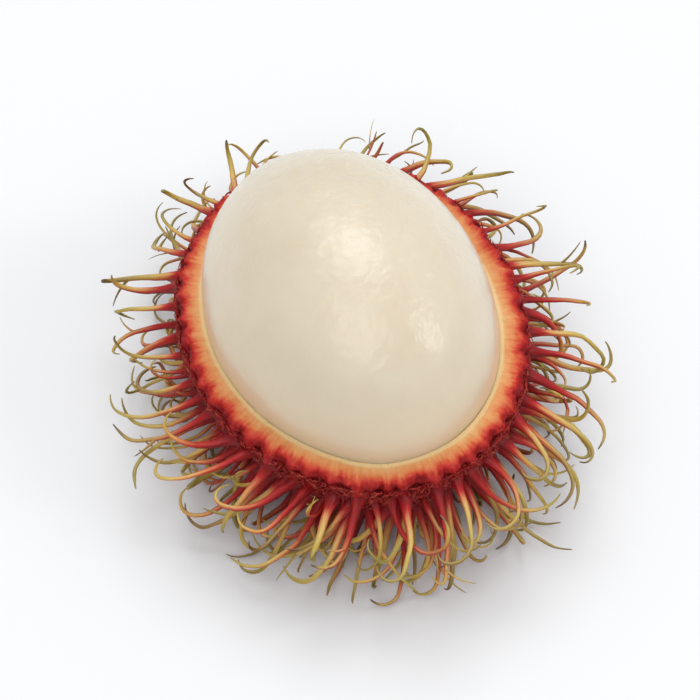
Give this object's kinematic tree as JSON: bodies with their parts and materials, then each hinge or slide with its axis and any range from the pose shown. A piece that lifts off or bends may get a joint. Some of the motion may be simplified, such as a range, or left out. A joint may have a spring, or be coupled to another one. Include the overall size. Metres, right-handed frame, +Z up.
{
  "type": "opened rambutan",
  "caption": "Rambutan opened lengthwise: the lower half of the spiny red rind, with hooked spines, holding the whole milky-white flesh.",
  "frame": {"origin": "middle of the small flat spot under the rind, which the fruit rests on", "axes": "+Z up out of the opened rind, +Y along the fruit's long axis"},
  "size_m": [0.0565, 0.0638, 0.0324],
  "materials": {
    "rind": "fresh leathery fruit rind, red with orange and yellow-green spine ends and a cream-orange cut face",
    "flesh": "moist translucent milky-white fruit flesh"
  },
  "bodies": {
    "root": {"rind": "rind", "flesh": "flesh"}
  },
  "joints": []
}
